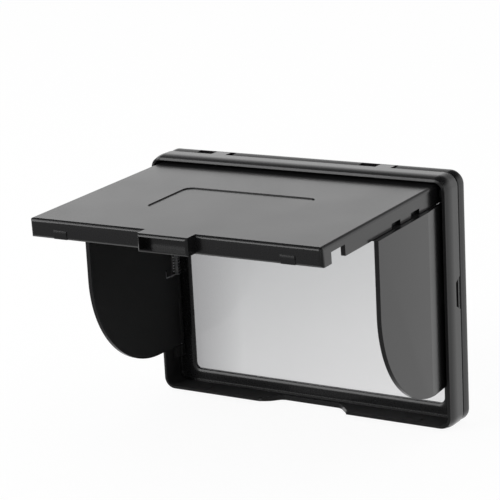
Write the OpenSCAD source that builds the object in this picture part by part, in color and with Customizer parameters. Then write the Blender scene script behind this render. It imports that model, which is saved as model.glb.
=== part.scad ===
// Clip-on pop-up screen hood for a camera, with a folding lid and two side flaps.
// X is to the viewer's right, Y runs from the front lip to the rear face, Z is up.
// The origin is the middle of the bonded rear face. The hood is drawn open.

/* [Frame] */
// Width of the frame
frame_w = 80; // [80:0.5:86]
// Height of the frame
frame_h = 59.8; // [59.8:0.1:64]
// Depth of the frame from its front lip to its rear face
frame_d = 9.2; // [9.2:0.1:10.5]
// Radius of the outer corners
corner_r = 3.2; // [2.6:0.1:4]
// Thickness of the outer walls
wall = 1.2; // [1.2:0.1:1.4]
// Depth of the front half of the frame
front_d = 5.8; // [5.8:0.1:6]
// How far the front lip stands in from the outside
lip_inset = 0.45; // [0.3:0.05:0.6]
// How far the front lip stands forward
lip_d = 0.8; // [0.5:0.1:1]
// Width of the groove between the two halves
groove_w = 0.8; // [0.6:0.1:1]
// Depth of the groove between the two halves
groove_deep = 0.5; // [0.3:0.1:0.6]

/* [Window] */
// Width of the clear opening
view_w = 69.2; // [66:0.1:69.6]
// Height of the clear opening
view_h = 51.8; // [48:0.1:52]
// Thickness of the clear panel
panel_t = 1; // [0.8:0.1:1]
// Width of the glued border of the panel
panel_border = 1.5; // [1:0.1:1.7]
// Thickness of the bonding tape on the rear face
tape_t = 0.7; // [0.5:0.1:0.7]
// Width of the bonding tape
tape_w = 2; // [1.5:0.1:2]

/* [Lid] */
// Width of the lid
lid_w = 74.7; // [70:0.1:74.7]
// Length of the lid from its hinge axis
lid_len = 54; // [50:0.1:54]
// Depth of the lid's side walls, from its top face
lid_deep = 4.4; // [4:0.1:4.4]
// Thickness of the lid's top plate
lid_t = 1; // [0.8:0.1:1.1]
// Slope of the open lid, in degrees below level
lid_droop = 2; // [0:0.5:4]
// Width of the tongue at the front of the lid
tongue_w = 12.8; // [8:0.1:14]
// How far the tongue stands forward
tongue_len = 3; // [2:0.1:3.2]
// Width of the shallow recess on top of the lid
recess_w = 34.6; // [20:0.1:40]
// Length of the shallow recess, front to back
recess_len = 17.6; // [10:0.1:22]
// Depth of the shallow recess
recess_deep = 0.25; // [0.1:0.05:0.4]

/* [Flaps] */
// Length of each flap from its hinge axis
flap_len = 35.6; // [30:0.1:36.5]
// Thickness of each flap
flap_t = 1.1; // [0.9:0.1:1.1]
// Radius of the curved lower corner
flap_r = 25.5; // [15:0.5:28]
// Gap between the flap's lower edge and the frame's outer lower edge
flap_low = 10.5; // [10.5:0.1:12]
// Gap between the flap's top edge and the lid's side wall
flap_gap = 0.06; // [0.06:0.01:0.6]

/* [Pins and springs] */
// Diameter of the lid's hinge pins
lid_pin_dia = 1.2; // [1:0.1:1.3]
// Diameter of the flaps' hinge pins
flap_pin_dia = 0.8; // [0.7:0.05:0.8]
// Radial clearance of a turning hinge
run_gap = 0.05; // [0.03:0.01:0.08]
// Wire diameter of the lid springs
lid_wire = 0.4; // [0.3:0.05:0.45]
// Wire diameter of the flap springs
flap_wire = 0.3; // [0.25:0.05:0.3]

/* [Hidden] */
$fn = 64;
eps = 0.01;
// Depths are measured back from the front lip
tape_proud = 0.3;
function back(d) = d - frame_d - tape_proud;
inner_w = frame_w - 2 * wall;
inner_h = frame_h - 2 * wall;
inner_r = corner_r - wall;
floor_z = -inner_h / 2;
edge_bevel = 0.5;
seam_bevel_front = 0.15;
seam_bevel_rear = 0.3;
register_d = 0.5;
bezel_at = 6.9;
bezel_t = 0.8;
seal_t = 0.1;
seal_inset = 0.2;
panel_at = bezel_at + bezel_t + seal_t;
panel_w = view_w + 2 * panel_border;
panel_h = view_h + 2 * panel_border;
panel_gap = 0.15;
panel_r = 1.4;
view_r = 1.6;
bond_inset = 1.6;
bond_w = frame_w - 2 * bond_inset;
bond_h = frame_h - 2 * bond_inset;
bond_r = 2;
bond_inner_r = 1.2;
bond_gap = 0.1;

// Lid hinge axis: below the top wall and behind the lip
lid_front = 0.5;
lid_rise = 2.4;
lid_axis_y = back(lid_front + lid_rise);
lid_axis_z = frame_h / 2 - 4.1;
lid_wall = 1.1;
lid_rear = 1.2;
lid_corner = 1;
lid_bevel = 0.3;
knuckle_r = 1.7;
knuckle_w = 3.4;
inner_knuckle_w = 1.6;
lid_knuckle_x = lid_w / 2 - knuckle_w;
lid_spring_w = 4.2;
inner_knuckle_x = lid_knuckle_x - lid_spring_w - inner_knuckle_w;
lid_side_gap = 0.2;
lid_boss_len = (inner_w - lid_w) / 2 - lid_side_gap;
lid_pin_seat = 0.8;
lid_pin_end_gap = 0.05;

// Lid springs, measured from the pin's axis
lid_spring_turns = 5;
lid_spring_end_gap = 0.3;
lid_spring_r = lid_pin_dia / 2 + 0.15 + lid_wire / 2;
lid_leg_len = 7;
lid_leg_rise = 0.93;
lid_rear_leg = [[1, 1.7], [2.65, 2.05]];

// Tongue, nubs and notches of the lid
tongue_up = 0.3;
tongue_wall = 0.55;
tongue_pocket = 2.4;
nub_x = 29.1;
nub_w = 3.6;
nub_out = 0.25;
nub_top = 0.1;
nub_ramp_from = 0.6;
nub_ramp_to = 1.9;
end_notch_at = 44.5;
end_notch_len = 5.8;
end_notch_h = 2.5;
small_notches = [11, 20];
small_notch_len = 4;
small_notch_h = 1.3;
small_notch_deep = 0.75;
recess_at = 29.2;
recess_r = 2;

// Flap hinge axis: outboard of the lid and behind its walls
flap_axis_in = 0.85;
flap_axis_x = inner_w / 2 - flap_axis_in;
flap_axis_d = 5.95;
flap_side_gap = 0.15;
flap_outer_x = inner_w / 2 - flap_side_gap;
flap_inner_x = flap_outer_x - flap_t;
flap_tube_r = 0.75;
flap_tube_short = 0.15;
flap_root = 0.5;
flap_arc_steps = 40;
flap_bottom = flap_low - frame_h / 2;
flap_arc_u = flap_len - flap_r;
flap_arc_z = flap_bottom + flap_r;
lid_wall_low_z = lid_axis_z + lid_rise - lid_deep;
function flap_top(u) =
    lid_wall_low_z - flap_gap - (u + lid_front + lid_rise - flap_axis_d) * tan(lid_droop);
flap_spring_z = [-1.3, 5.5];
flap_spring_gap = 0.2;
flap_spring_r = 0.8;
flap_spring_in = 0.15;
flap_spring_forward = 0.05;
flap_spring_turns = 9;
flap_spring_low = flap_spring_z[0] + 0.05;
flap_window_front = 2.6;
flap_groove_len = 5.4;
flap_groove_w = 0.6;
flap_groove_deep = 0.42;
flap_groove_h = 2.3;
flap_hook_h = 1.7;
flap_rest_len = 0.95;
leg_gap = 0.04;
ear_h = 3;
ear_from_d = 3.4;
ear_gap = 0.1;
ear_low_top = flap_bottom - ear_gap;
ear_high_low = flap_top(0) + ear_gap;
pin_in_ear = 2.4;
pin_end_gap = 0.1;
pin_seat_gap = 0.01;

// Cut-outs and catch ridges of the frame
finger_front_w = 24;
finger_rear_w = 16.2;
finger_front_d = 0.9;
finger_d = 4.75;
pry_z = 2.1;
pry_front_w = 5.6;
pry_rear_w = 8;
pry_d = 3.75;
latch_x = [-25.35, 18.95];
latch_w = [10.1, 9.5];
latch_tab_w = 3.9;
latch_tab_shift = [1.7, 2.15];
latch_t = 0.9;
latch_rear = 8.6;
latch_gap = 0.15;
latch_root = 1;
catch_w = 3.8;
catch_h = 0.2;
catch_d = [1.2, 1.9, 2.6, 2.65];

plastic = [0.16, 0.16, 0.165];
steel = [0.72, 0.72, 0.74];
clear = [0.82, 0.85, 0.87, 0.35];
foam = [0.1, 0.1, 0.1];

// Flat shapes

module rounded_rect(w, h, r) {
    square([w - 2 * r, h], center = true);
    square([w, h - 2 * r], center = true);
    for (x = [-1, 1], z = [-1, 1])
        translate([x * (w / 2 - r), z * (h / 2 - r)]) circle(r);
}

// A plate that faces the viewer, between two depths
module plate(w, h, r, from, to) {
    translate([0, back(to), 0]) rotate([90, 0, 0])
        linear_extrude(to - from) rounded_rect(w, h, r);
}

// A plate whose front or rear edge is bevelled
module bevelled_plate(w, h, r, from, to, front, rear) {
    plate(w, h, r, from + front, to - rear);
    hull() {
        plate(w - 2 * front, h - 2 * front, r - front, from, from + eps, $fn = 32);
        plate(w, h, r, from + front, from + front + eps, $fn = 32);
    }
    hull() {
        plate(w, h, r, to - rear - eps, to - rear, $fn = 32);
        plate(w - 2 * rear, h - 2 * rear, r - rear, to - eps, to, $fn = 32);
    }
}

module both_sides() {
    children();
    mirror([1, 0, 0]) children();
}

// Frame

// Recess for a fingertip in the bottom wall, narrower towards the back
module finger_cut() {
    front = finger_front_w / 2;
    rear = finger_rear_w / 2;
    translate([0, 0, -frame_h / 2 - eps]) linear_extrude(wall + 2 * eps)
        polygon([
            [-front, back(-1)], [front, back(-1)], [front, back(finger_front_d)],
            [rear, back(finger_d)], [-rear, back(finger_d)], [-front, back(finger_front_d)],
        ]);
}

module pry_cut() {
    translate([inner_w / 2 - eps, 0, pry_z]) rotate([0, 90, 0])
        linear_extrude(wall + 1)
            polygon([
                [-pry_front_w / 2, back(pry_d)], [pry_front_w / 2, back(pry_d)],
                [pry_rear_w / 2, back(front_d) + eps], [-pry_rear_w / 2, back(front_d) + eps],
            ]);
}

// Low ridge on the bottom wall that holds a nub of the closed lid
module catch_ridge() {
    translate([nub_x - catch_w / 2, 0, floor_z]) rotate([90, 0, 90]) linear_extrude(catch_w)
        polygon([
            [back(catch_d[0]), -eps], [back(catch_d[3]), -eps],
            [back(catch_d[2]), catch_h], [back(catch_d[1]), catch_h],
        ]);
}

// Tab on the front half that snaps into a notch of the rear half
module latch_tab(i) {
    translate([latch_x[i] + latch_tab_shift[i] - latch_tab_w / 2,
               back(front_d) - latch_root, frame_h / 2 - latch_t])
        cube([latch_tab_w, latch_rear - latch_gap - front_d + latch_root, latch_t]);
}

module latch_cut(i) {
    translate([latch_x[i] - latch_w[i] / 2, back(front_d) - eps,
               frame_h / 2 - latch_t - latch_gap])
        cube([latch_w[i], latch_rear - front_d + eps, latch_t + 1]);
}

// Boss on the side wall that holds one end of a lid pin
module lid_boss() {
    translate([inner_w / 2 - lid_boss_len, lid_axis_y, lid_axis_z]) rotate([0, 90, 0])
        cylinder(r = knuckle_r, h = lid_boss_len + eps);
}

module lid_boss_bore() {
    translate([inner_w / 2 - lid_boss_len - 1, lid_axis_y, lid_axis_z]) rotate([0, 90, 0])
        cylinder(d = lid_pin_dia + 2 * pin_seat_gap, h = lid_boss_len + 1 + lid_pin_seat);
}

// Ear on the side wall that holds one end of a flap pin
module flap_ear(z) {
    reach = flap_axis_x - flap_tube_r;
    translate([flap_inner_x, back(ear_from_d), z])
        cube([inner_w / 2 - flap_inner_x + eps, flap_axis_d + flap_tube_r - ear_from_d, ear_h]);
    translate([reach, back(flap_axis_d - flap_tube_r), z])
        cube([inner_w / 2 - reach + eps, 2 * flap_tube_r, ear_h]);
}

module flap_pin_bore(low, high) {
    translate([flap_axis_x, back(flap_axis_d), low])
        cylinder(d = flap_pin_dia + 2 * pin_seat_gap, h = high - low);
}

module front_frame() {
    color(plastic) difference() {
        union() {
            difference() {
                union() {
                    plate(frame_w - 2 * lip_inset, frame_h - 2 * lip_inset,
                          corner_r - lip_inset, 0, front_d);
                    bevelled_plate(frame_w, frame_h, corner_r, lip_d, front_d,
                                   edge_bevel, seam_bevel_front);
                }
                plate(inner_w, inner_h, inner_r, -1, front_d + 1);
                finger_cut();
                both_sides() pry_cut();
            }
            for (i = [0, 1]) latch_tab(i);
            both_sides() {
                lid_boss();
                flap_ear(ear_low_top - ear_h);
                flap_ear(ear_high_low);
                catch_ridge();
            }
        }
        both_sides() {
            lid_boss_bore();
            flap_pin_bore(ear_low_top - pin_in_ear, ear_low_top + eps);
            flap_pin_bore(ear_high_low - eps, ear_high_low + pin_in_ear);
        }
    }
}

module rear_frame() {
    color(plastic) difference() {
        union() {
            plate(frame_w - 2 * groove_deep, frame_h - 2 * groove_deep,
                  corner_r - groove_deep, front_d, front_d + groove_w + register_d);
            bevelled_plate(frame_w, frame_h, corner_r, front_d + groove_w, frame_d,
                           seam_bevel_rear, edge_bevel);
        }
        plate(inner_w, inner_h, inner_r, front_d - 1, bezel_at);
        plate(view_w, view_h, view_r, bezel_at - 1, bezel_at + bezel_t + 1);
        plate(panel_w + 2 * panel_gap, panel_h + 2 * panel_gap, panel_r + panel_gap,
              bezel_at + bezel_t, frame_d + 1);
        plate(bond_w + 2 * bond_gap, bond_h + 2 * bond_gap, bond_r,
              frame_d + tape_proud - tape_t, frame_d + 1);
        for (i = [0, 1]) latch_cut(i);
    }
}

// Clear panel and the tapes

module window() {
    color(clear) plate(panel_w, panel_h, panel_r, panel_at, panel_at + panel_t);
}

module window_seal() {
    color(foam) difference() {
        plate(panel_w, panel_h, panel_r, panel_at - seal_t, panel_at);
        plate(view_w + 2 * seal_inset, view_h + 2 * seal_inset, view_r + seal_inset,
              panel_at - 1, panel_at + 1);
    }
}

module bonding_tape() {
    color(foam) difference() {
        plate(bond_w, bond_h, bond_r, frame_d + tape_proud - tape_t, frame_d + tape_proud);
        plate(bond_w - 2 * tape_w, bond_h - 2 * tape_w, bond_inner_r, 0, frame_d + 1);
    }
}

// Lid, drawn about its hinge axis and then sloped

module in_lid() {
    translate([0, lid_axis_y, lid_axis_z]) rotate([lid_droop, 0, 0]) children();
}

module lid_outline(inset) {
    w = lid_w / 2 - inset;
    r = max(lid_corner - inset, 0.3);
    translate([-w + r, -lid_len + inset]) square([2 * (w - r), lid_len - inset + lid_rear]);
    translate([-w, -lid_len + inset + r]) square([2 * w, lid_len - inset - r + lid_rear]);
    for (x = [-1, 1]) translate([x * (w - r), -lid_len + inset + r]) circle(r);
}

module lid_tray() {
    difference() {
        union() {
            translate([0, 0, lid_rise - lid_deep])
                linear_extrude(lid_deep - lid_bevel) lid_outline(0);
            hull() {
                translate([0, 0, lid_rise - lid_bevel - eps])
                    linear_extrude(eps) lid_outline(0, $fn = 32);
                translate([0, 0, lid_rise - eps])
                    linear_extrude(eps) lid_outline(lid_bevel, $fn = 32);
            }
            tongue();
            for (x = [-nub_x, nub_x]) translate([x, 0, 0]) nub();
        }
        translate([0, 0, lid_rise - lid_deep - 1])
            linear_extrude(lid_deep - lid_t + 1) difference() {
                lid_outline(lid_wall);
                translate([-lid_w, 0]) square([2 * lid_w, 5]);
            }
        translate([-lid_w, 0, lid_rise - lid_deep - 1]) cube([2 * lid_w, 5, lid_deep - lid_t + 1]);
        tongue_hollow();
        lid_recess();
        both_sides() lid_notches();
    }
}

module tongue() {
    translate([-tongue_w / 2, -lid_len - tongue_len, lid_rise - lid_deep + tongue_up])
        cube([tongue_w, tongue_len + 1, lid_deep - tongue_up]);
}

module tongue_hollow() {
    translate([-tongue_w / 2 + tongue_wall, -lid_len - tongue_len - 1,
               lid_rise - lid_deep + tongue_up + tongue_wall])
        cube([tongue_w - 2 * tongue_wall, tongue_pocket + 1,
              lid_deep - tongue_up - 2 * tongue_wall]);
}

// Wedge that sits behind a catch ridge when the lid is closed
module nub() {
    translate([-nub_w / 2, -lid_len, 0]) rotate([0, 90, 0]) linear_extrude(nub_w)
        polygon([
            [-nub_top, lid_wall / 2], [-nub_top, -nub_out], [nub_ramp_from, -nub_out],
            [nub_ramp_to, 0], [nub_ramp_to, lid_wall / 2],
        ]);
}

module lid_recess() {
    translate([0, -recess_at - recess_len / 2, lid_rise - recess_deep])
        linear_extrude(1) rounded_rect(recess_w, recess_len, recess_r);
}

// Notch in the lower edge of a side wall, cut in from the outside
module lid_notch(from, len, h, deep) {
    translate([lid_w / 2 - deep, -from - len, lid_rise - lid_deep - 1])
        cube([deep + 1, len, h + 1]);
}

module lid_notches() {
    lid_notch(end_notch_at, end_notch_len, end_notch_h, lid_wall + 0.5);
    for (from = small_notches)
        lid_notch(from, small_notch_len, small_notch_h, small_notch_deep);
}

// Barrel on the pin, joined up to the lid's plate
module lid_knuckle(x, w) {
    translate([x, 0, 0]) rotate([0, 90, 0]) cylinder(r = knuckle_r, h = w);
    translate([x, -knuckle_r, 0]) cube([w, knuckle_r + lid_rear, lid_rise - lid_t / 2]);
}

module lid() {
    color(plastic) in_lid() difference() {
        union() {
            lid_tray();
            both_sides() {
                lid_knuckle(lid_knuckle_x, knuckle_w);
                lid_knuckle(inner_knuckle_x, inner_knuckle_w);
            }
        }
        both_sides() translate([inner_knuckle_x - 1, 0, 0]) rotate([0, 90, 0])
            cylinder(d = lid_pin_dia + 2 * run_gap, h = lid_w / 2 - inner_knuckle_x + 2);
    }
}

module lid_pin_right() {
    len = inner_w / 2 + lid_pin_seat - lid_pin_end_gap - inner_knuckle_x;
    color(steel) translate([inner_knuckle_x, lid_axis_y, lid_axis_z]) rotate([0, 90, 0])
        cylinder(d = lid_pin_dia, h = len);
}

// Flaps: flat shape measured forward from the hinge axis and upward

module flap_shape() {
    arc = [for (i = [0:flap_arc_steps])
        let (a = 90 * i / flap_arc_steps)
        [flap_arc_u + flap_r * sin(a), flap_arc_z - flap_r * cos(a)]];
    difference() {
        polygon(concat(
            [[flap_root, flap_bottom]], arc,
            [[flap_len, flap_top(flap_len)], [flap_root, flap_top(flap_root)]]));
        translate([-1, flap_spring_z[0] - flap_spring_gap])
            square([1 + flap_window_front,
                    flap_spring_z[1] - flap_spring_z[0] + 2 * flap_spring_gap]);
    }
}

module flap_tube(low, high) {
    translate([flap_axis_x, back(flap_axis_d), low]) cylinder(r = flap_tube_r, h = high - low);
}

module right_flap() {
    bore_r = flap_pin_dia / 2 + run_gap;
    color(plastic) difference() {
        union() {
            translate([flap_inner_x, back(flap_axis_d), 0])
                rotate([90, 0, 90]) mirror([1, 0, 0]) linear_extrude(flap_t) flap_shape();
            flap_tube(flap_bottom + flap_tube_short, flap_spring_z[0] - flap_spring_gap);
            flap_tube(flap_spring_z[1] + flap_spring_gap, flap_top(0) - flap_tube_short);
        }
        translate([flap_axis_x, back(flap_axis_d), flap_bottom - 1])
            cylinder(r = bore_r, h = frame_h);
        spring_leg_cut();
    }
}

// Shallow groove that keeps the spring's leg below the flap's inner face
module spring_leg_cut() {
    low = flap_spring_z[0] - flap_spring_gap;
    translate([flap_inner_x - 1, back(flap_axis_d) - flap_groove_len, low]) {
        cube([1 + flap_groove_deep, flap_groove_len, flap_groove_w]);
        cube([1 + flap_groove_deep, flap_groove_w, flap_groove_h]);
    }
}

module right_flap_pin() {
    low = ear_low_top - pin_in_ear + pin_end_gap;
    high = ear_high_low + pin_in_ear - pin_end_gap;
    color(steel) translate([flap_axis_x, back(flap_axis_d), low])
        cylinder(d = flap_pin_dia, h = high - low);
}

// Springs: a round wire carried along a list of points

function unit(v) = v / norm(v);
function tangent(p, i) = unit(p[min(i + 1, len(p) - 1)] - p[max(i - 1, 0)]);
function side_of(t, up) = unit(cross(t, up));

module wire(p, r, up, sides = 6) {
    n = len(p);
    points = [for (i = [0:n - 1])
        let (t = tangent(p, i), a = side_of(t, up), b = cross(t, a))
        for (k = [0:sides - 1]) p[i] + r * (cos(360 * k / sides) * a + sin(360 * k / sides) * b)];
    walls = [for (i = [0:n - 2], k = [0:sides - 1], half = [0, 1])
        let (a = i * sides + k, b = i * sides + (k + 1) % sides)
        half == 0 ? [a, b, b + sides] : [a, b + sides, a + sides]];
    first = [for (k = [sides - 1:-1:0]) k];
    last = [for (k = [0:sides - 1]) (n - 1) * sides + k];
    polyhedron(points, concat([first], walls, [last]));
}

// Coil about the Z axis from one height to another, starting at an angle
function coil(r, from, to, turns, start, steps) =
    [for (i = [0:turns * steps])
        let (a = start + 360 * i / steps)
        [r * cos(a), r * sin(a), from + (to - from) * i / (turns * steps)]];

module right_flap_spring() {
    r = flap_spring_r;
    low = flap_spring_low;
    centre_x = flap_axis_x - flap_spring_in;
    leg_x = flap_inner_x + flap_groove_deep - flap_wire / 2 - leg_gap - centre_x;
    leg_end = -flap_groove_len + flap_groove_w / 2 + flap_spring_forward;
    turns = [for (p = coil(r, low + 0.15, flap_spring_z[1] - 0.2, flap_spring_turns, 180, 12))
        [p[0], -p[1], p[2]]];
    hook = [
        [leg_x, leg_end, low + flap_hook_h], [leg_x, leg_end, low],
        [leg_x, -1.25, low], [-r, -0.35, low + 0.03],
    ];
    rest = [[-r, flap_rest_len, flap_spring_z[1] - 0.17]];
    color(steel) translate([centre_x, back(flap_axis_d - flap_spring_forward), 0])
        wire(concat(hook, turns, rest), flap_wire / 2, [0.05, 0.02, 1]);
}

// One leg lies under the lid's plate, the other stands behind it under the top wall
module lid_spring_right() {
    r = lid_spring_r;
    from = inner_knuckle_x + inner_knuckle_w + lid_spring_end_gap;
    low = lid_wire / 2;
    high = lid_knuckle_x - lid_spring_end_gap - from - lid_wire / 2;
    front_leg = [[-lid_leg_rise, lid_leg_len, low], [-r, 0.5, low]];
    turns = coil(r, low, high, lid_spring_turns, 180, 12);
    rear_leg = [for (p = lid_rear_leg) [-p[0], -p[1], high]];
    color(steel) translate([from, lid_axis_y, lid_axis_z]) rotate([0, 90, 0])
        mirror([0, 1, 0])
            wire(concat(front_leg, turns, rear_leg), lid_wire / 2, [0.02, 0.05, 1]);
}

module left_flap() { mirror([1, 0, 0]) right_flap(); }
module left_flap_pin() { mirror([1, 0, 0]) right_flap_pin(); }
module left_flap_spring() { mirror([1, 0, 0]) right_flap_spring(); }
module lid_pin_left() { mirror([1, 0, 0]) lid_pin_right(); }
module lid_spring_left() { mirror([1, 0, 0]) lid_spring_right(); }

front_frame();
rear_frame();
window();
window_seal();
bonding_tape();
lid();
lid_pin_left();
lid_pin_right();
lid_spring_left();
lid_spring_right();
left_flap();
right_flap();
left_flap_pin();
right_flap_pin();
left_flap_spring();
right_flap_spring();
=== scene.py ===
# A pop-up sun hood for a camera's rear screen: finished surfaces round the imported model.
import math
import bmesh
import bpy
import numpy as np
from mathutils import Matrix, Vector


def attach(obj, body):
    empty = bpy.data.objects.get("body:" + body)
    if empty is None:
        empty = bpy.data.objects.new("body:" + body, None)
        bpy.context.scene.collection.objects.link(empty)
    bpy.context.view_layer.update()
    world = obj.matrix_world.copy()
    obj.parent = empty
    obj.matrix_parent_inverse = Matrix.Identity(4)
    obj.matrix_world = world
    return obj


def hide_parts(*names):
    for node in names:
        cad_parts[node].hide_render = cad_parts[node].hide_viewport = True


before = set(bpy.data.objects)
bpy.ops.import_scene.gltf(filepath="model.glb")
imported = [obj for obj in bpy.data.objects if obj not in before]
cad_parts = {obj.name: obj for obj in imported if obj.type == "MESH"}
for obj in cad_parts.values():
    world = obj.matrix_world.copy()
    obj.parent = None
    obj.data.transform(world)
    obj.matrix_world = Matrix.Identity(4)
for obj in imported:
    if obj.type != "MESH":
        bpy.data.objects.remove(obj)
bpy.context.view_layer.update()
mm = 0.001
print("stage: model loaded")


def addObject(name, data):
    thing = bpy.data.objects.new(name, data)
    bpy.context.scene.collection.objects.link(thing)
    return thing


# Camera, as found from the edges and corners in the photograph. Distances are in millimetres.
cameraSetup = {"azimuth": 32.468, "elevation": 14.545, "roll": -2.976, "distance": 475.98,
               "right": 10.949, "up": -9.320, "lookAt": (0.0, -9.5, 0.1),
               "lens": 145.3, "sensor": 36.0, "nearest": 10.0}


def makeCamera(c):
    az, el, roll = (math.radians(c[k]) for k in ("azimuth", "elevation", "roll"))
    look = Vector((-math.sin(az) * math.cos(el), math.cos(az) * math.cos(el), -math.sin(el)))
    level = Vector((math.cos(az), math.sin(az), 0.0))
    above = level.cross(look)
    side = level * math.cos(roll) + above * math.sin(roll)
    top = above * math.cos(roll) - level * math.sin(roll)
    place = Vector(c["lookAt"]) - look * c["distance"] - side * c["right"] - top * c["up"]
    data = bpy.data.cameras.new("photoCamera")
    data.lens = c["lens"]
    data.sensor_width = c["sensor"]
    data.clip_start = c["nearest"] * mm
    camera = addObject("photoCamera", data)
    turn = Matrix((side, top, -look)).transposed().to_4x4()
    camera.matrix_world = Matrix.Translation(place * mm) @ turn
    bpy.context.scene.camera = camera


makeCamera(cameraSetup)
print("stage: camera placed")


# Shapes
# A shape is (points, faces) in millimetres, and joinShapes puts several into one.

def softCorners(points, cuts, steps=4):
    # Every corner P of a closed outline turns into an arc from A to B, which lie a cut away on
    # either side: ((1-t)^2 A + 2t(1-t) w P + t^2 B) / (the same weights), w = sine of half the corner.
    p = np.asarray(points, float)
    c = np.asarray(cuts, float)[:, None]
    back, ahead = np.roll(p, 1, 0) - p, np.roll(p, -1, 0) - p
    back = back / np.linalg.norm(back, axis=1, keepdims=True)
    ahead = ahead / np.linalg.norm(ahead, axis=1, keepdims=True)
    w = np.sqrt(np.clip((1 - (back * ahead).sum(1)) / 2, 0, 1))[:, None, None]
    t = np.linspace(0, 1, steps + 1)[None, :, None]
    a, b, m = (1 - t) ** 2, t ** 2, 2 * t * (1 - t) * w
    arc = a * (p + back * c)[:, None] + m * p[:, None] + b * (p + ahead * c)[:, None]
    out = (arc / (a + m + b)).reshape(-1, p.shape[1])
    keep = np.linalg.norm(out - np.roll(out, 1, 0), axis=1) > 1e-5  # drops repeated points
    return out[keep]


def startingAt(points, first):
    # The same closed row of points, turned round to begin at the one nearest to first.
    start = int(np.argmin(np.linalg.norm(points - np.asarray(first, float), axis=1)))
    return np.roll(points, -start, 0)


def gridShape(grid, wrapRows=False, capEnds=False):
    # Quad (i, j) joins the points (i, j), (i, j+1), (i+1, j+1) and (i+1, j). The columns close into
    # a ring. The rows close too, or their two ends get a cap.
    rows, cols = grid.shape[:2]
    i = np.arange(rows if wrapRows else rows - 1)[:, None]
    j = np.arange(cols)[None, :]
    i2, j2 = (i + 1) % rows, (j + 1) % cols
    corners = np.stack([i * cols + j, i * cols + j2, i2 * cols + j2, i2 * cols + j], -1)
    faces = corners.reshape(-1, 4).tolist()
    if capEnds:
        faces += [list(range(cols)), list(range((rows - 1) * cols, rows * cols))]
    return grid.reshape(-1, 3), faces


def joinShapes(shapes):
    starts = np.cumsum([0] + [len(s[0]) for s in shapes])
    faces = [[k + start for k in f] for (_, fs), start in zip(shapes, starts) for f in fs]
    return np.concatenate([s[0] for s in shapes]), faces


def mirrored(shape):
    return shape[0] * (-1, 1, 1), shape[1]


def aroundRectangle(stations, cornerSteps=10):
    # Station (half width, half height, corner radius, level): each point is the corner's centre
    # plus the radius times (cos a, sin a), for a from 0 to 360 degrees in four quarter turns.
    s = np.asarray(stations, float)
    halfW, halfH, r, level = (s[:, k:k + 1] for k in range(4))
    quarters = [np.linspace(q, q + 90, cornerSteps + 1) for q in (0, 90, 180, 270)]
    a = np.radians(np.concatenate(quarters))
    signX = np.repeat([1, -1, -1, 1], cornerSteps + 1)
    signZ = np.repeat([1, 1, -1, -1], cornerSteps + 1)
    u = signX * (halfW - r) + r * np.cos(a)
    v = signZ * (halfH - r) + r * np.sin(a)
    return u, v, level + 0 * a


def insetOutline(outline, insets):
    # Each point moves inwards by the inset along the mitre of its two edges.
    p = np.asarray(outline, float)
    e = np.roll(p, -1, 0) - p
    e = e / np.linalg.norm(e, axis=1, keepdims=True)
    normal = np.stack([-e[:, 1], e[:, 0]], 1)
    area = (p[:, 0] * np.roll(p[:, 1], -1) - p[:, 1] * np.roll(p[:, 0], -1)).sum()
    normal *= np.sign(area)
    mitre = normal + np.roll(normal, 1, 0)
    mitre /= (mitre * normal).sum(1, keepdims=True)
    return p[None] + np.asarray(insets, float)[:, None, None] * mitre[None]


def asGrid(x, y, z):
    return np.stack([x + 0 * z, y + 0 * z, z + 0 * x], -1)


def extruded(outline, low, high, order="xyz", rim=0.0, steps=3):
    # A flat outline carried straight from low to high, with its two rims rounded by the rim. The
    # order names the axes of the outline's two numbers and of the level: "yzx" goes along X.
    deep = max(rim * 1.2, 0.01)
    side = softCorners([(deep, low), (0, low), (0, high), (deep, high)], (0, rim, rim, 0), steps)
    side = startingAt(side, (deep, low))
    flat = insetOutline(outline, side[:, 0])
    level = side[:, 1][:, None] + 0 * flat[..., 0]
    place = dict(zip(order, (flat[..., 0], flat[..., 1], level)))
    return gridShape(asGrid(place["x"], place["y"], place["z"]), capEnds=True)


def boxShape(low, high):
    corners = [(low[0], low[1]), (high[0], low[1]), (high[0], high[1]), (low[0], high[1])]
    return extruded(corners, low[2], high[2])


def roundAxis(radius, along, centre, axis, around):
    # (radius, distance along the axis) carried round the X or Z axis through the centre.
    a = np.linspace(0, 2 * np.pi, around, endpoint=False)[None, :]
    r, h = radius[:, None], along[:, None] + 0 * a
    across, level = r * np.cos(a), r * np.sin(a)
    order = (h, across, level) if axis == "x" else (across, level, h)
    return np.stack(order, -1) + np.asarray(centre, float)


def turned(profile, cuts, centre, axis, around=40):
    # A closed profile of (radius, distance along the axis) turned round the axis.
    p = softCorners(profile, cuts, 3)
    return gridShape(roundAxis(p[:, 0], p[:, 1], centre, axis, around), wrapRows=True)


def rodShape(centre, radius, length, axis, rim=0.08, around=32):
    # A round rod with rounded ends: (radius, distance) runs from the middle of one end to the other.
    t = np.linspace(0, np.pi / 2, 5)
    r = np.concatenate([radius - rim + rim * np.sin(t), radius - rim + rim * np.cos(t)])
    h = np.concatenate([rim - rim * np.cos(t), length - rim + rim * np.sin(t)])
    return gridShape(roundAxis(r, h, centre, axis, around), capEnds=True)


def wireShape(path, radius, up, around=10):
    # A circle carried along the path: point + radius (cos k side + sin k above), where side and
    # above stand square to the path's direction. The two end rings are smaller.
    p = np.asarray(path, float)
    t = np.gradient(p, axis=0)
    t /= np.linalg.norm(t, axis=1, keepdims=True)
    size = np.full(len(p), radius)
    size[0] = size[-1] = radius * 0.6
    side = np.cross(t, np.asarray(up, float))
    side /= np.linalg.norm(side, axis=1, keepdims=True)
    above = np.cross(t, side)
    k = np.linspace(0, 2 * np.pi, around, endpoint=False)[None, :, None]
    ring = np.cos(k) * side[:, None] + np.sin(k) * above[:, None]
    return gridShape(p[:, None] + size[:, None, None] * ring, capEnds=True)


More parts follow.
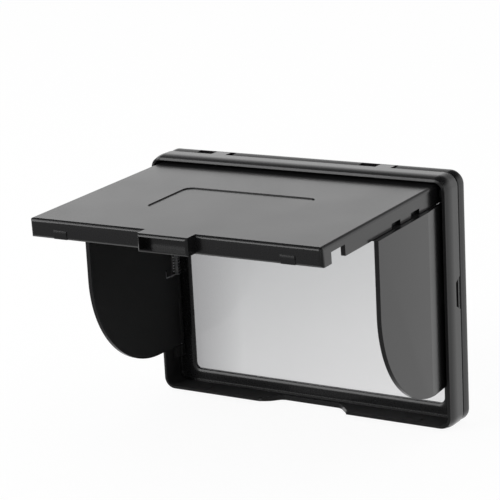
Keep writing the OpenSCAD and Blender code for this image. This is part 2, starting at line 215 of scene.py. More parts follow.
def smoothPath(points, cuts, steps):
    # The same arcs as softCorners, on an open line in space whose ends stay where they are.
    return startingAt(softCorners(points, [0] + list(cuts) + [0], steps), points[0])


def coilPath(radius, low, high, turns, startAngle, steps=20):
    # The angle grows evenly from the start, and the height with it.
    t = np.linspace(0, 1, turns * steps + 1)
    a = startAngle + 2 * np.pi * turns * t
    return np.stack([radius * np.cos(a), radius * np.sin(a), low + (high - low) * t], 1)


def backFrom(depth):
    # Depths are measured from the frame's front lip, and the origin is on the tape's face.
    return depth - 9.5


# Pieces

bevelFinish = {"angle": 35, "segments": 2}


def newMesh(name, shape):
    # Doubles are merged, and then the faces point outwards.
    mesh = bpy.data.meshes.new(name)
    mesh.from_pydata((np.asarray(shape[0]) * mm).tolist(), [], shape[1])
    work = bmesh.new()
    work.from_mesh(mesh)
    bmesh.ops.remove_doubles(work, verts=work.verts, dist=0.002 * mm)
    bmesh.ops.recalc_face_normals(work, faces=work.faces)
    work.to_mesh(mesh)
    work.free()
    mesh.update()
    return mesh


def makePiece(name, shape, material, body, node, bevel=0.0):
    mesh = newMesh(name, shape)
    mesh.validate()
    mesh.materials.append(material)
    mesh.shade_smooth()
    piece = addObject(name, mesh)
    if bevel:
        rounding = piece.modifiers.new("edges", "BEVEL")
        rounding.width = bevel * mm
        rounding.segments = bevelFinish["segments"]
        rounding.limit_method = "ANGLE"
        rounding.angle_limit = math.radians(bevelFinish["angle"])
        rounding.use_clamp_overlap = True
    flat = piece.modifiers.new("shading", "WEIGHTED_NORMAL")
    flat.keep_sharp = False
    flat.weight = 100
    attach(piece, body)
    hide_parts(node)


def bothSides(operation, shape):
    return [(operation, shape), (operation, mirrored(shape))]


def carve(shape, steps):
    # steps is a list of ("UNION" or "DIFFERENCE", shape), done one after the other.
    base = addObject("scratch", newMesh("scratch", shape))
    scratches = [base]
    for operation, toolShape in steps:
        tool = addObject("scratch", newMesh("scratch", toolShape))
        scratches.append(tool)
        cut = base.modifiers.new("cut", "BOOLEAN")
        cut.operation = operation
        cut.solver = "EXACT"
        cut.object = tool
    done = bpy.data.meshes.new_from_object(base.evaluated_get(bpy.context.evaluated_depsgraph_get()))
    work = bmesh.new()
    work.from_mesh(done)
    bmesh.ops.remove_doubles(work, verts=work.verts, dist=0.004 * mm)
    bmesh.ops.dissolve_degenerate(work, edges=work.edges, dist=0.002 * mm)
    bmesh.ops.dissolve_limit(work, angle_limit=math.radians(0.5), verts=work.verts, edges=work.edges)
    work.verts.ensure_lookup_table()
    work.verts.index_update()
    points = np.array([v.co for v in work.verts]) / mm
    faces = [[v.index for v in f.verts] for f in work.faces]
    work.free()
    for scratch in scratches:
        old = scratch.data
        bpy.data.objects.remove(scratch)
        bpy.data.meshes.remove(old)
    bpy.data.meshes.remove(done)
    return points, faces


# Materials
# Each helper adds one node to a tree and gives its result. A plain value or another node's result
# may stand on either side of a sum or a mix.

def feed(tree, value, socket):
    if isinstance(value, bpy.types.NodeSocket):
        tree.links.new(value, socket)
    else:
        socket.default_value = value


def addNoise(tree, vector, scale, detail=2.0):
    noise = tree.nodes.new("ShaderNodeTexNoise")
    noise.inputs["Scale"].default_value = scale
    noise.inputs["Detail"].default_value = detail
    tree.links.new(vector, noise.inputs["Vector"])
    return noise.outputs["Fac"]


def addRamp(tree, value, low, high, stops=(0.3, 0.7)):
    ramp = tree.nodes.new("ShaderNodeMapRange")
    ramp.inputs["From Min"].default_value, ramp.inputs["From Max"].default_value = stops
    ramp.inputs["To Min"].default_value, ramp.inputs["To Max"].default_value = low, high
    tree.links.new(value, ramp.inputs["Value"])
    return ramp.outputs["Result"]


def addMath(tree, operation, *values):
    node = tree.nodes.new("ShaderNodeMath")
    node.operation = operation
    for value, socket in zip(values, node.inputs):
        feed(tree, value, socket)
    return node.outputs["Value"]


def addSplit(tree, vector):
    split = tree.nodes.new("ShaderNodeSeparateXYZ")
    tree.links.new(vector, split.inputs["Vector"])
    return split.outputs


def blend(tree, factor, first, second, kind="FLOAT"):
    mix = tree.nodes.new("ShaderNodeMix")
    mix.data_type = kind
    tree.links.new(factor, mix.inputs["Factor"])
    feed(tree, first, mix.inputs["A"])
    feed(tree, second, mix.inputs["B"])
    return mix.outputs["Result"]


def mixColours(tree, factor, first, second):
    sides = [(*side, 1.0) if isinstance(side, tuple) else side for side in (first, second)]
    return blend(tree, factor, *sides, kind="RGBA")


def addBump(tree, height, strength, distance, shader):
    bump = tree.nodes.new("ShaderNodeBump")
    bump.inputs["Strength"].default_value = strength
    bump.inputs["Distance"].default_value = distance * mm
    tree.links.new(height, bump.inputs["Height"])
    tree.links.new(bump.outputs["Normal"], shader.inputs["Normal"])


def newMaterial(name):
    material = bpy.data.materials.new(name)
    material.use_nodes = True
    tree = material.node_tree
    coords = tree.nodes.new("ShaderNodeTexCoord")
    return material, tree, tree.nodes["Principled BSDF"], coords.outputs["Object"]


def insideMask(tree, coords, halfX, halfZ):
    # 1 where |x| and |z| are both less than the given sizes, falling to 0 over 0.1 mm.
    split = addSplit(tree, coords)
    parts = []
    for axis, half in (("X", halfX), ("Z", halfZ)):
        size = addMath(tree, "ABSOLUTE", split[axis])
        parts.append(addRamp(tree, size, 1.0, 0.0, (half * mm, (half + 0.1) * mm)))
    return addMath(tree, "MULTIPLY", *parts)


# The matt finish is on the faces that stand within (half width, half height) of the middle.
mouldedPlasticLook = {"dark": (0.011, 0.011, 0.0115), "light": (0.019, 0.019, 0.020),
                      "smooth": 0.19, "rough": 0.23, "shine": 0.5, "mattRough": 0.75, "mattShine": 0.42,
                      "cloudScale": 60.0, "grainScale": 3600.0, "grainHeight": 0.025, "grainDepth": 0.03,
                      "ior": 1.5, "insideShell": (38.85, 28.75), "insideFlaps": (37.58, 60.0)}


def mouldedPlastic(v, name="mouldedPlastic", inside=None):
    material, tree, shader, coords = newMaterial(name)
    cloud = addNoise(tree, coords, v["cloudScale"])
    grain = addNoise(tree, coords, v["grainScale"])
    tint = mixColours(tree, addRamp(tree, grain, 0.0, 1.0), v["dark"], v["light"])
    tree.links.new(tint, shader.inputs["Base Color"])
    satin = addRamp(tree, cloud, v["smooth"], v["rough"])
    if inside:
        mask = insideMask(tree, coords, *inside)
        satin = blend(tree, mask, satin, v["mattRough"])
        shine = blend(tree, mask, v["shine"], v["mattShine"])
        tree.links.new(shine, shader.inputs["Specular IOR Level"])
    tree.links.new(satin, shader.inputs["Roughness"])
    addBump(tree, grain, v["grainHeight"], v["grainDepth"], shader)
    shader.inputs["IOR"].default_value = v["ior"]
    return material


springSteelLook = {"dark": (0.22, 0.22, 0.225), "light": (0.42, 0.42, 0.43), "smooth": 0.28, "rough": 0.5,
                   "cloudScale": 700.0, "fineScale": 5200.0, "fineHeight": 0.08, "fineDepth": 0.02}


def springSteel(v):
    material, tree, shader, coords = newMaterial("springSteel")
    cloud = addNoise(tree, coords, v["cloudScale"], 3.0)
    fine = addNoise(tree, coords, v["fineScale"])
    tint = mixColours(tree, addRamp(tree, cloud, 0.0, 1.0), v["dark"], v["light"])
    tree.links.new(tint, shader.inputs["Base Color"])
    tree.links.new(addRamp(tree, fine, v["smooth"], v["rough"]), shader.inputs["Roughness"])
    addBump(tree, fine, v["fineHeight"], v["fineDepth"], shader)
    shader.inputs["Metallic"].default_value = 1.0
    return material


foamTapeLook = {"dark": (0.018, 0.018, 0.018), "light": (0.045, 0.045, 0.046),
                "smooth": 0.75, "rough": 0.95, "cloudScale": 400.0,
                "cellScale": 2600.0, "cellHeight": 0.35, "cellDepth": 0.04}


def foamTape(v):
    material, tree, shader, coords = newMaterial("foamTape")
    cells = tree.nodes.new("ShaderNodeTexVoronoi")
    cells.inputs["Scale"].default_value = v["cellScale"]
    tree.links.new(coords, cells.inputs["Vector"])
    cloud = addNoise(tree, coords, v["cloudScale"], 3.0)
    tint = mixColours(tree, addRamp(tree, cloud, 0.0, 1.0), v["dark"], v["light"])
    tree.links.new(tint, shader.inputs["Base Color"])
    tree.links.new(addRamp(tree, cloud, v["smooth"], v["rough"]), shader.inputs["Roughness"])
    addBump(tree, cells.outputs["Distance"], v["cellHeight"], v["cellDepth"], shader)
    return material


# The strip is the painted shadow of the left flap: darker beside the left edge, between the two places
# along X.
# The grey is the panel's smoke tint; the darker upper left colour is painted shade under the lid and
# beside the left flap.
clearPanelLook = {"shadedUpperLeft": (0.37, 0.375, 0.38), "lowerRight": (0.70, 0.70, 0.705),
                  "flapShadowColour": (0.33, 0.33, 0.335), "flapShadowStrip": (-36.0, -21.0),
                  "shadeDirection": (8.0, 0.0, -15.0), "shadeStops": (-0.55, 0.55),
                  "smooth": 0.10, "rough": 0.16, "hazeScale": 90.0, "ior": 1.49}


def clearPanel(v):
    # Painted shade: the smoke tint is darker at the upper left corner, under the lid and beside the left
    # flap, and lighter at the lower right one: -x and +z to +x and -z.
    material, tree, shader, coords = newMaterial("clearPanel")
    along = tree.nodes.new("ShaderNodeVectorMath")
    along.operation = "DOT_PRODUCT"
    along.inputs[1].default_value = v["shadeDirection"]
    tree.links.new(coords, along.inputs[0])
    shift = addRamp(tree, along.outputs["Value"], 0.0, 1.0, v["shadeStops"])
    # Painted shade: the colour darkens towards the upper left.
    tint = mixColours(tree, shift, v["shadedUpperLeft"], v["lowerRight"])
    # Painted shadow of the left flap: a darker band beside the panel's left edge.
    left, right = v["flapShadowStrip"]
    outsideFlapShadow = addRamp(tree, addSplit(tree, coords)["X"], 0.0, 1.0, (left * mm, right * mm))
    tree.links.new(mixColours(tree, outsideFlapShadow, v["flapShadowColour"], tint), shader.inputs["Base Color"])
    haze = addNoise(tree, coords, v["hazeScale"], 3.0)
    tree.links.new(addRamp(tree, haze, v["smooth"], v["rough"]), shader.inputs["Roughness"])
    shader.inputs["Transmission Weight"].default_value = 1.0
    shader.inputs["IOR"].default_value = v["ior"]
    return material


plastic = mouldedPlastic(mouldedPlasticLook)
shellPlastic = mouldedPlastic(mouldedPlasticLook, "shellPlastic", mouldedPlasticLook["insideShell"])
flapPlastic = mouldedPlastic(mouldedPlasticLook, "flapPlastic", mouldedPlasticLook["insideFlaps"])
steel = springSteel(springSteelLook)
foam = foamTape(foamTapeLook)
panelMaterial = clearPanel(clearPanelLook)
print("stage: materials made")

# Front half of the shell
# A hinge axis is two of its places: the lid's (y, z) and the right flap's (x, y).

shellSizes = {"halfWidth": 40.0, "halfHeight": 29.9, "corner": 3.2, "seam": 5.8}
frontShell = {"wall": 1.2, "shoulderDepth": 1.9, "shoulderInset": 0.42, "lipInset": 0.5, "lipDraft": 0.12,
              "innerEdge": 0.12}
fingerRecess = {"frontHalf": 12.0, "rearHalf": 8.1, "straight": 0.9, "depth": 4.75,
                "low": -31.0, "high": -28.3}
pryNotch = {"height": 2.1, "frontHalf": 2.8, "rearHalf": 4.05, "front": 3.75, "rear": 5.9,
            "inner": 38.4, "outer": 41.0}
catchRidge = {"left": 27.2, "right": 31.0, "foot": -28.8, "top": -28.5,
              "front": 1.2, "topFront": 1.9, "topRear": 2.6, "rear": 2.65}
latchTab = {"half": 1.95, "front": 4.8, "rear": 8.45, "low": 29.0, "high": 29.9}
latches = [(-25.35, 10.1, 1.7), (18.95, 9.5, 2.15)]  # (middle, notch width, how far the tab is off)
flapEar = {"inner": 37.2, "step": 37.55, "wall": 39.0, "front": 3.4, "middle": 5.2, "rear": 6.7,
           "edge": 0.15, "spans": ((-22.5, -19.5), (23.95, 26.95))}
lidBoss = {"from": 37.55, "radius": 1.7, "bore": 0.61, "length": 1.5}
lidAxis = (backFrom(2.9), 25.8)
flapAxis = (37.95, backFrom(5.95))


def shellStations(points):
    # (inset, depth) turns into (half width - inset, half height - inset, corner - inset, depth).
    v = shellSizes
    o, d = np.asarray(points, float).T
    return np.stack([v["halfWidth"] - o, v["halfHeight"] - o, np.maximum(v["corner"] - o, 0.3), d], 1)


def wallShape(stations, cuts, steps):
    u, z, d = aroundRectangle(softCorners(stations, cuts, steps))
    return gridShape(asGrid(u, backFrom(d), z), wrapRows=True)


def fingerCutter(v):
    # Through the bottom wall, narrower towards the back.
    outside = backFrom(-1.0)
    straight, deep = backFrom(v["straight"]), backFrom(v["depth"])
    wide, narrow = v["frontHalf"], v["rearHalf"]
    outline = [(-wide, outside), (wide, outside), (wide, straight),
               (narrow, deep), (-narrow, deep), (-wide, straight)]
    soft = softCorners(outline, (0.1, 0.1, 0.8, 1.0, 1.0, 0.8))
    return extruded(soft, v["low"], v["high"])


def pryCutter(v):
    # In the side wall, wider at the seam.
    z, front, rear = v["height"], backFrom(v["front"]), backFrom(v["rear"])
    outline = [(z - v["frontHalf"], front), (z + v["frontHalf"], front),
               (z + v["rearHalf"], rear), (z - v["rearHalf"], rear)]
    return extruded(outline, v["inner"], v["outer"], "zyx")


def ridgeShape(v):
    # Low ridge that a nub of the lid snaps over.
    outline = [(backFrom(v["front"]), v["foot"]), (backFrom(v["rear"]), v["foot"]),
               (backFrom(v["topRear"]), v["top"]), (backFrom(v["topFront"]), v["top"])]
    return extruded(outline, v["left"], v["right"], "yzx")


def tabShape(v, middle):
    # Snap tab on the top that reaches back into the other half.
    return boxShape((middle - v["half"], backFrom(v["front"]), v["low"]),
                    (middle + v["half"], backFrom(v["rear"]), v["high"]))


def frontShellShape(v):
    # The side runs forward into a long soft shoulder, then a lip whose face leans back a little.
    outline = [(0, shellSizes["seam"]), (0, v["shoulderDepth"]), (v["shoulderInset"], 0.45),
               (v["lipInset"], v["lipDraft"]), (v["wall"], 0), (v["wall"], shellSizes["seam"])]
    shell = wallShape(shellStations(outline), (0.15, 1.3, 0.2, 0.06, v["innerEdge"], 0.08), 6)
    steps = [("DIFFERENCE", fingerCutter(fingerRecess))]
    steps += bothSides("DIFFERENCE", pryCutter(pryNotch))
    steps += bothSides("UNION", ridgeShape(catchRidge))
    steps += [("UNION", tabShape(latchTab, middle + shift)) for middle, _, shift in latches]
    return carve(shell, steps)


def earShape(v, low, high):
    # L-shaped ear that carries an end of the flap's pin.
    front, middle, rear = (backFrom(v[k]) for k in ("front", "middle", "rear"))
    outline = [(v["step"], front), (v["wall"], front), (v["wall"], rear),
               (v["inner"], rear), (v["inner"], middle), (v["step"], middle)]
    soft = softCorners(outline, (0.25, 0.05, 0.05, 0.3, 0.1, 0.15), 3)
    return extruded(soft, low, high, rim=v["edge"])


def bossShape(v):
    # Round boss on the side wall for the outer end of the lid's pin.
    bore, radius, length = v["bore"], v["radius"], v["length"]
    profile = [(bore, 0), (radius, 0), (radius, length), (bore, length)]
    return turned(profile, (0.1, 0.15, 0.02, 0.02), (v["from"], *lidAxis), "x")


frontParts = [bossShape(lidBoss)] + [earShape(flapEar, *span) for span in flapEar["spans"]]
frontParts += [mirrored(part) for part in frontParts]
makePiece("frontShell", joinShapes([frontShellShape(frontShell)] + frontParts), shellPlastic,
          "frame", "front_frame", bevel=0.12)
print("stage: front shell made")

# Rear half of the shell
# A ring of the inner wall is (half width, half height, corner radius), at a depth.

rearShell = {"rear": 9.2, "rimEdge": 0.45,
             "tapeSeat": (38.5, 28.4, 2.0), "tapeFloor": 8.8,
             "panelSeat": (36.25, 27.55, 1.55), "panelFloor": 7.7,
             "view": (34.6, 25.9, 1.6), "viewFront": 7.1,
             "bezel": (35.3, 26.6, 2.0), "bezelFront": 6.9,
             "mouth": (38.8, 28.7, 2.0), "mouthFloor": 6.8}
latchNotch = {"front": 5.3, "rear": 8.6, "low": 28.85, "high": 31.0}


def rearShellShape(v):
    seam, rear = shellSizes["seam"], v["rear"]
    outer = shellStations([(0.5, seam), (0.5, 6.55), (0.26, 6.7), (0.06, 7.9), (0, 8.5), (0, rear)])
    seat = [(*v["tapeSeat"], rear), (*v["tapeSeat"], v["tapeFloor"]),
            (*v["panelSeat"], v["tapeFloor"]), (*v["panelSeat"], v["panelFloor"])]
    # The bezel leans back a little beside the window, and then turns into the opening.
    view = [(*v["view"], v["panelFloor"]), (*v["view"], v["viewFront"])]
    inside = [(*v["bezel"], v["bezelFront"]), (*v["mouth"], v["mouthFloor"]), (*v["mouth"], seam)]
    cuts = (0.05, 0.1, 0.12, 0.35, 0.2, v["rimEdge"], 0.1, 0.02, 0.05, 0.02, 0.05, 0.25, 0.35, 0.1, 0.05)
    shell = wallShape(np.concatenate([outer, seat, view, inside]), cuts, 5)
    n = latchNotch
    steps = []
    for middle, width, _ in latches:
        notch = boxShape((middle - width / 2, backFrom(n["front"]), n["low"]),
                         (middle + width / 2, backFrom(n["rear"]), n["high"]))
        steps.append(("DIFFERENCE", notch))
    return carve(shell, steps)


makePiece("rearShell", rearShellShape(rearShell), plastic,
          "frame", "rear_frame", bevel=0.08)
print("stage: rear shell made")

# Clear panel, its seal and the bonding tape

panelSizes = {"outside": (36.1, 27.4, 1.4), "front": 7.8, "rear": 8.8, "edge": 0.12, "rim": 0.3}
sealSizes = {"outside": (36.1, 27.4, 1.4), "inside": (34.8, 26.1, 1.8),
             "front": 7.7, "rear": 7.8, "edge": 0.02}
tapeSizes = {"outside": (38.4, 28.3, 2.0), "inside": (36.4, 26.3, 1.2),
             "front": 8.8, "rear": 9.5, "edge": 0.12}


def panelShape(v):
    full = np.array(v["outside"])
    rim = [(*(full - v["rim"]), v["front"]), (*full, v["front"]),
           (*full, v["rear"]), (*(full - v["rim"]), v["rear"])]
    rows = startingAt(softCorners(rim, (0, v["edge"], v["edge"], 0), 3), rim[0])
    u, z, d = aroundRectangle(rows)
    return gridShape(asGrid(u, backFrom(d), z), capEnds=True)


def ringShape(v):
    rows = [(*v["outside"], v["front"]), (*v["outside"], v["rear"]),
            (*v["inside"], v["rear"]), (*v["inside"], v["front"])]
    return wallShape(rows, (v["edge"],) * 4, 3)


makePiece("clearPanel", panelShape(panelSizes), panelMaterial, "frame", "window")
makePiece("panelSeal", ringShape(sealSizes), foam, "frame", "window_seal")
makePiece("bondingTape", ringShape(tapeSizes), foam, "frame", "bonding_tape")
print("stage: panel and tapes made")

# Lid
# It is drawn level about its hinge, with y negative to the front, and then droops. The rims are
# (inset, how far back) pairs from the side to the front face.

lidSizes = {"halfWidth": 37.35, "front": -54.0, "rear": 1.2, "top": 2.4, "low": -2.0, "corner": 1.0,
            "wall": 1.1, "plate": 1.0, "sideEdge": 0.8, "droop": 2.0,
            "rim": [(0.0, 0.5), (0.4, 0.12), (0.76, 0.0)]}
lidTongue = {"half": 6.4, "low": -1.7, "front": -57.0, "rear": -53.3,
             "rim": [(0.0, 0.42), (0.34, 0.1), (0.66, 0.0)]}
tonguePocket = {"half": 5.85, "front": -58.4, "rear": -54.6, "low": -1.15, "high": 1.75}
topRecess = {"half": 17.3, "front": -38.0, "rear": -20.4, "corner": 2.0, "deep": 0.25}
# (distance forward of the hinge, length, height, depth)
sideNotches = ((44.5, 5.8, 2.5, 1.6), (11.0, 4.0, 1.3, 0.75), (20.0, 4.0, 1.3, 0.75))
lidNub = {"middle": 29.1, "half": 1.8, "edge": 0.08}
lidKnuckle = {"radius": 1.7, "top": 1.6, "front": 1.2, "edge": 0.12, "bore": 0.65,
              "spans": ((33.95, 37.35), (28.15, 29.75))}


def inLid(shape, droop):
    # Turned about the lid's hinge by the droop, then moved onto the hinge.
    a = math.radians(droop)
    x, y, z = np.asarray(shape[0]).T
    return np.stack([x, lidAxis[0] + y * math.cos(a) - z * math.sin(a),
                     lidAxis[1] + y * math.sin(a) + z * math.cos(a)], 1), shape[1]


def frontFaced(outline, front, rear, rim):
    # An outline in (x, height) carried back from the front face, with a soft rim round that face.
    pairs = sorted(rim, key=lambda pair: -pair[0])
    insets = [pair[0] for pair in pairs] + [0.0]
    places = [front + pair[1] for pair in pairs] + [rear]
    flat = insetOutline(outline, insets)
    return gridShape(asGrid(flat[..., 0], np.array(places)[:, None], flat[..., 1]), capEnds=True)


def trayShape(v):
    # A block with soft upper side edges, round front corners and a hollow underneath.
    w, low, top, r = v["halfWidth"], v["low"], v["top"], v["corner"]
    front, wall = v["front"], v["wall"]
    section = [(-w, low), (w, low), (w, top), (-w, top)]
    soft = softCorners(section, (0, 0, v["sideEdge"], v["sideEdge"]), 6)
    block = frontFaced(soft, front, v["rear"], v["rim"])
    a = np.radians(np.linspace(0, 90, 9))
    arc = np.stack([w - r + r * np.cos(a), front + r - r * np.sin(a)], 1)
    beyond = [[(w + 1, front - 1), (w + 1, front + r)], arc, [(w - r, front - 1)]]
    corner = extruded(np.concatenate(beyond), low - 1, top + 1)
    inner, behind = w - wall, 3.0
    outline = [(-inner, front + wall), (inner, front + wall), (inner, behind), (-inner, behind)]
    hollow = extruded(softCorners(outline, (0.4, 0.4, 0.1, 0.1)), low - 1, top - v["plate"])
    return carve(block, bothSides("DIFFERENCE", corner) + [("DIFFERENCE", hollow)])


def nubShape(v, front):
    outline = [(0.55, 0.1), (-0.17, 0.1), (-0.25, -0.35), (-0.25, -0.6), (0.0, -1.9), (0.55, -1.9)]
    return extruded(np.array(outline) + (front, 0), v["middle"] - v["half"], v["middle"] + v["half"],
                    "yzx", v["edge"])


def knuckleShape(v, left, right):
    # Round barrel below, square above, where it runs into the lid's plate.
    a = np.radians(np.linspace(180, 360 + 45, 26))
    barrel = np.stack([v["radius"] * np.cos(a), v["radius"] * np.sin(a)], 1)
    outline = np.concatenate([[(-v["radius"], v["top"])], barrel, [(v["front"], v["top"])]])
    return extruded(outline, left, right, "yzx", v["edge"])


def tongueShape(v, top):
    section = [(-v["half"], v["low"]), (v["half"], v["low"]), (v["half"], top), (-v["half"], top)]
    return frontFaced(section, v["front"], v["rear"], v["rim"])


def recessShape(v, top):
    half, front, rear = v["half"], v["front"], v["rear"]
    outline = [(-half, front), (half, front), (half, rear), (-half, rear)]
    return extruded(softCorners(outline, (v["corner"],) * 4, 6), top - v["deep"], top + 1.6)


def lidShape(v):
    p, k = tonguePocket, lidKnuckle
    behind = boxShape((-40, 0.0, -3.0), (40, 3.0, v["top"] - v["plate"]))
    pocket = boxShape((-p["half"], p["front"], p["low"]), (p["half"], p["rear"], p["high"]))
    steps = [("DIFFERENCE", behind), ("UNION", tongueShape(lidTongue, v["top"])),
             ("DIFFERENCE", pocket), ("DIFFERENCE", recessShape(topRecess, v["top"]))]
    for start, length, height, deep in sideNotches:
        notch = boxShape((v["halfWidth"] - deep, -start - length, -3.0),
                         (38.5, -start, v["low"] + height))
        steps += bothSides("DIFFERENCE", notch)
    steps += bothSides("UNION", nubShape(lidNub, v["front"]))
    for left, right in k["spans"]:
        steps += bothSides("UNION", knuckleShape(k, left, right))
    steps += bothSides("DIFFERENCE", rodShape((27.0, 0, 0), k["bore"], 12.0, "x"))
    return inLid(carve(trayShape(v), steps), v["droop"])


makePiece("sunLid", lidShape(lidSizes), plastic, "lid", "lid", bevel=0.12)
print("stage: lid made")

# Flaps
# The right one is drawn, and the left one is its mirror image.

flapSizes = {"length": 35.6, "inner": 37.55, "outer": 38.65, "arcRadius": 25.5, "bottom": -19.4,
             "edge": 0.1, "root": 0.5, "tube": 0.75, "bore": 0.45, "lean": 0.6,
             "topHeight": 23.76, "topAt": 3.05, "slope": 2.0, "ribHeight": 0.5, "ribRoot": 0.3}
springWindow = {"front": 2.6, "low": -1.5, "high": 5.7}
springGroove = {"deep": 0.42, "length": 5.4, "top": -0.9, "hook": 0.6, "hookLow": -1.2, "hookHigh": 0.8}
# (from, to) forward of the hinge, and how far each stretch of the upper edge stands inwards
flapRibs = ((0.7, 5.9, 0.16), (5.6, 34.4, 1.25))


def flapTop(u):
    # The upper edge slopes down to the front as the open lid does.
    v = flapSizes
    return v["topHeight"] - (u - v["topAt"]) * math.tan(math.radians(v["slope"]))


def flapPart(outline, low, high, order, rim=0.0, steps=3):
    # Like extruded, with the outline's first number as the distance forward of the flap's hinge.
    p = np.array(outline, float)
    p[:, 0] = flapAxis[1] - p[:, 0]
    return extruded(p, low, high, order, rim, steps)


def flapOutline(v, w):
    # A quarter circle at the low front corner and a window at the root for the spring.
    a = np.radians(np.linspace(0, 90, 41))
    arc = np.stack([v["length"] - v["arcRadius"] * (1 - np.sin(a)),
                    v["bottom"] + v["arcRadius"] * (1 - np.cos(a))], 1)
    upper = [(v["length"], flapTop(v["length"])), (v["root"], flapTop(v["root"]))]
    window = [(v["root"], w["high"]), (w["front"], w["high"]),
              (w["front"], w["low"]), (v["root"], w["low"])]
    return np.concatenate([[(v["root"], v["bottom"])], arc, upper, window])


def ribShape(v, near, far, reach):
    # Thicker stretch along the inner side of the upper edge.
    nearTop, farTop = flapTop(near), flapTop(far)
    outline = [(near, nearTop - v["ribHeight"]), (far, farTop - v["ribHeight"]),
               (far, farTop), (near, nearTop)]
    return flapPart(outline, v["inner"] - reach, v["inner"] + v["ribRoot"], "yzx")


def tubeShape(v, low, high):
    # Round sleeve of the flap on its pin.
    profile = [(v["bore"], low), (v["tube"], low), (v["tube"], high), (v["bore"], high)]
    return turned(profile, (0.03, 0.1, 0.1, 0.03), (*flapAxis, 0), "z")


def flapShape(v, w, g):
    plate = flapPart(flapOutline(v, w), v["inner"], v["outer"], "yzx", v["edge"], 4)
    floor, end = v["inner"] + g["deep"], flapAxis[1] - g["length"]
    groove = boxShape((37.0, end, w["low"]), (floor, flapAxis[1], g["top"]))
    hook = boxShape((37.0, end, g["hookLow"]), (floor, end + g["hook"], g["hookHigh"]))
    # The outer face leans inwards near the hinge.
    thin, full, far = v["outer"] - v["lean"], v["outer"] + 0.01, v["outer"] + 1.0
    wedge = [(-1.0, thin), (5.5, thin), (12.5, full), (12.5, far), (-1.0, far)]
    lean = flapPart(wedge, -25.0, 28.0, "yxz")
    steps = [("DIFFERENCE", groove), ("DIFFERENCE", hook), ("DIFFERENCE", lean)]
    steps += [("UNION", ribShape(v, *rib)) for rib in flapRibs]
    low = tubeShape(v, v["bottom"] + 0.15, w["low"])
    high = tubeShape(v, w["high"], flapTop(0) - 0.15)
    return joinShapes([carve(plate, steps), low, high])


rightFlapShape = flapShape(flapSizes, springWindow, springGroove)
makePiece("rightFlap", rightFlapShape, flapPlastic,
          "right_flap", "right_flap", bevel=0.08)
makePiece("leftFlap", mirrored(rightFlapShape), flapPlastic,
          "left_flap", "left_flap", bevel=0.08)
print("stage: flaps made")

# Pins and springs

flapSpring = {"coilRadius": 0.8, "wire": 0.15, "low": -1.25, "high": 5.5, "turns": 9}
lidSpring = {"coilRadius": 0.95, "wire": 0.2, "turns": 5, "from": 30.05, "width": 3.6}
flapPin = {"low": -21.8, "length": 48.05, "radius": 0.4}
lidPin = {"from": 28.15, "length": 11.4, "radius": 0.6}


def flapSpringShape(v):
    # The lower leg lies in the flap's groove and hooks up at its end.
    r, low = v["coilRadius"], v["low"]
    centreX, centreY = flapAxis[0] - 0.15, flapAxis[1] - 0.05
    legX = flapSizes["inner"] + springGroove["deep"] - v["wire"] - 0.04 - centreX
    legEnd = 0.35 - springGroove["length"]
    turns = coilPath(r, low + 0.15, v["high"] - 0.2, v["turns"], np.pi) * (1, -1, 1)
    corners = [(legX, legEnd, low + 1.7), (legX, legEnd, low), (legX, -1.25, low), (-r, -0.35, low + 0.03)]
    hook = smoothPath(corners + [turns[0]], (0.25, 0.3, 0.15), 5)
    path = np.concatenate([hook[:-1], turns, [(-r, 0.95, v["high"] - 0.17)]])
    points, faces = wireShape(path, v["wire"], (0.05, 0.02, 1))
    return points + np.array([centreX, centreY, 0]), faces


def lidSpringShape(v):
    # Drawn about an upright axis, then laid along the lid's pin: (a, b, c) goes to (c, b, -a).
    # The leg on the lid's side is short, so that it stays clear of the closed lid.
    r, low, high = v["coilRadius"], v["wire"], v["width"] - v["wire"]
    shortLeg = [(-0.93, 1.0, low), (-r, 0.35, low)]
    turns = coilPath(r, low, high, v["turns"], np.pi)
    path = np.concatenate([shortLeg, turns, [(-1.0, -1.7, high), (-2.65, -2.05, high)]])
    points, faces = wireShape(path, v["wire"], (0.02, 0.05, 1))
    a, b, c = points.T
    return np.stack([v["from"] + c, lidAxis[0] - b, lidAxis[1] - a], 1), faces


flapPinShape = rodShape((*flapAxis, flapPin["low"]), flapPin["radius"], flapPin["length"], "z")
lidPinShape = rodShape((lidPin["from"], *lidAxis), lidPin["radius"], lidPin["length"], "x")
# (name, shape on the right, the start and the end of its node's name)
steelParts = (("FlapSpring", flapSpringShape(flapSpring), "", "_flap_spring"),
              ("FlapPin", flapPinShape, "", "_flap_pin"),
              ("LidSpring", lidSpringShape(lidSpring), "lid_spring_", ""),
              ("LidPin", lidPinShape, "lid_pin_", ""))
for side in ("right", "left"):
    for name, shape, start, end in steelParts:
        placed = shape if side == "right" else mirrored(shape)
        makePiece(side + name, placed, steel, "frame", start + side + end)
print("stage: pins and springs made")

# Floor, world and lamps
# The stops are the places along an axis between which a level changes.

floorLook = {"height": -30.0, "halfSize": 3000.0, "cameraLevel": 0.92, "paint": 0.14,
             "behind": 1.0, "front": 0.22, "mirrorStops": (-0.75, 0.05)}
worldLook = {"soft": 0.45, "front": 0.13, "behind": 1.14, "depthStops": (-0.05, 0.75),
             "overhead": 0.02, "heightStops": (0.3, 0.62),
             "band": 0.85, "bandDepth": (-0.6, -0.4), "bandHeight": (0.15, 0.28)}
keyLamp = {"place": (-0.75, -0.95, 0.42), "size": 0.8, "power": 6.0}


def addRayKinds(tree):
    # Whether a ray is a reflection, and whether it comes from the camera or through the panel.
    path = tree.nodes.new("ShaderNodeLightPath")
    seen = addMath(tree, "MAXIMUM", path.outputs["Is Camera Ray"], path.outputs["Is Transmission Ray"])
    return path.outputs["Is Glossy Ray"], seen


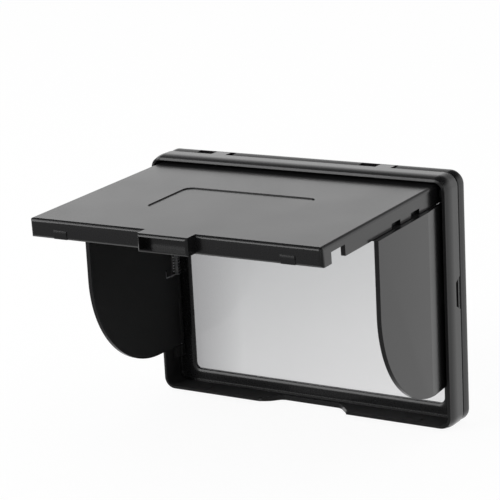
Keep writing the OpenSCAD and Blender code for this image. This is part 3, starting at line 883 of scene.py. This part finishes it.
def makeFloor(v):
    half, z = v["halfSize"] * mm, v["height"] * mm
    mesh = bpy.data.meshes.new("floor")
    corners = [(-half, -half, z), (half, -half, z), (half, half, z), (-half, half, z)]
    mesh.from_pydata(corners, [], [(0, 1, 2, 3)])
    floor = addObject("floor", mesh)
    material = bpy.data.materials.new("paleFloor")
    material.use_nodes = True
    tree = material.node_tree
    tree.nodes.clear()
    paint = tree.nodes.new("ShaderNodeBsdfDiffuse")
    paint.inputs["Color"].default_value = (v["paint"],) * 3 + (1.0,)
    # A reflected ray that runs backwards (+Y) sees a light floor, one that runs forwards a dim one.
    reflected, seen = addRayKinds(tree)
    facing = addSplit(tree, tree.nodes.new("ShaderNodeNewGeometry").outputs["Incoming"])
    mirrorLevel = addRamp(tree, facing["Y"], v["behind"], v["front"], v["mirrorStops"])
    mirror = addMath(tree, "MULTIPLY", reflected, mirrorLevel)
    plain = addMath(tree, "MULTIPLY", seen, v["cameraLevel"])
    glow = tree.nodes.new("ShaderNodeEmission")
    tree.links.new(addMath(tree, "MAXIMUM", plain, mirror), glow.inputs["Strength"])
    both = tree.nodes.new("ShaderNodeAddShader")
    tree.links.new(paint.outputs["BSDF"], both.inputs[0])
    tree.links.new(glow.outputs["Emission"], both.inputs[1])
    tree.links.new(both.outputs["Shader"], tree.nodes.new("ShaderNodeOutputMaterial").inputs["Surface"])
    mesh.materials.append(material)


def makeWorld(v):
    # Seen directly the background is white. In reflections it is white behind and at the sides,
    # dim in front with a brighter band near the horizon, and dark overhead.
    world = bpy.data.worlds.new("studio")
    bpy.context.scene.world = world
    world.use_nodes = True
    tree = world.node_tree
    place = addSplit(tree, tree.nodes.new("ShaderNodeTexCoord").outputs["Generated"])
    depth = addRamp(tree, place["Y"], v["front"], v["behind"], v["depthStops"])
    height = addRamp(tree, place["Z"], 1.0, v["overhead"], v["heightStops"])
    wide = addMath(tree, "MULTIPLY", depth, height)
    facing = addRamp(tree, place["Y"], v["band"], 0.0, v["bandDepth"])
    low = addRamp(tree, place["Z"], 1.0, 0.0, v["bandHeight"])
    mirror = addMath(tree, "MAXIMUM", wide, addMath(tree, "MULTIPLY", facing, low))
    reflected, seen = addRayKinds(tree)
    soft = blend(tree, reflected, v["soft"], mirror)
    ground = tree.nodes["Background"]
    ground.inputs["Color"].default_value = (1.0, 1.0, 1.0, 1.0)
    tree.links.new(blend(tree, seen, soft, 1.0), ground.inputs["Strength"])


def makeLamp(name, v):
    data = bpy.data.lights.new(name, "AREA")
    data.energy = v["power"]
    data.size = v["size"]
    lamp = addObject(name, data)
    lamp.location = v["place"]
    lamp.rotation_euler = (-Vector(v["place"])).to_track_quat("-Z", "Y").to_euler()


makeFloor(floorLook)
makeWorld(worldLook)
makeLamp("keyLamp", keyLamp)
bpy.context.scene.view_settings.view_transform = "Standard"
print("stage: floor and lights made")
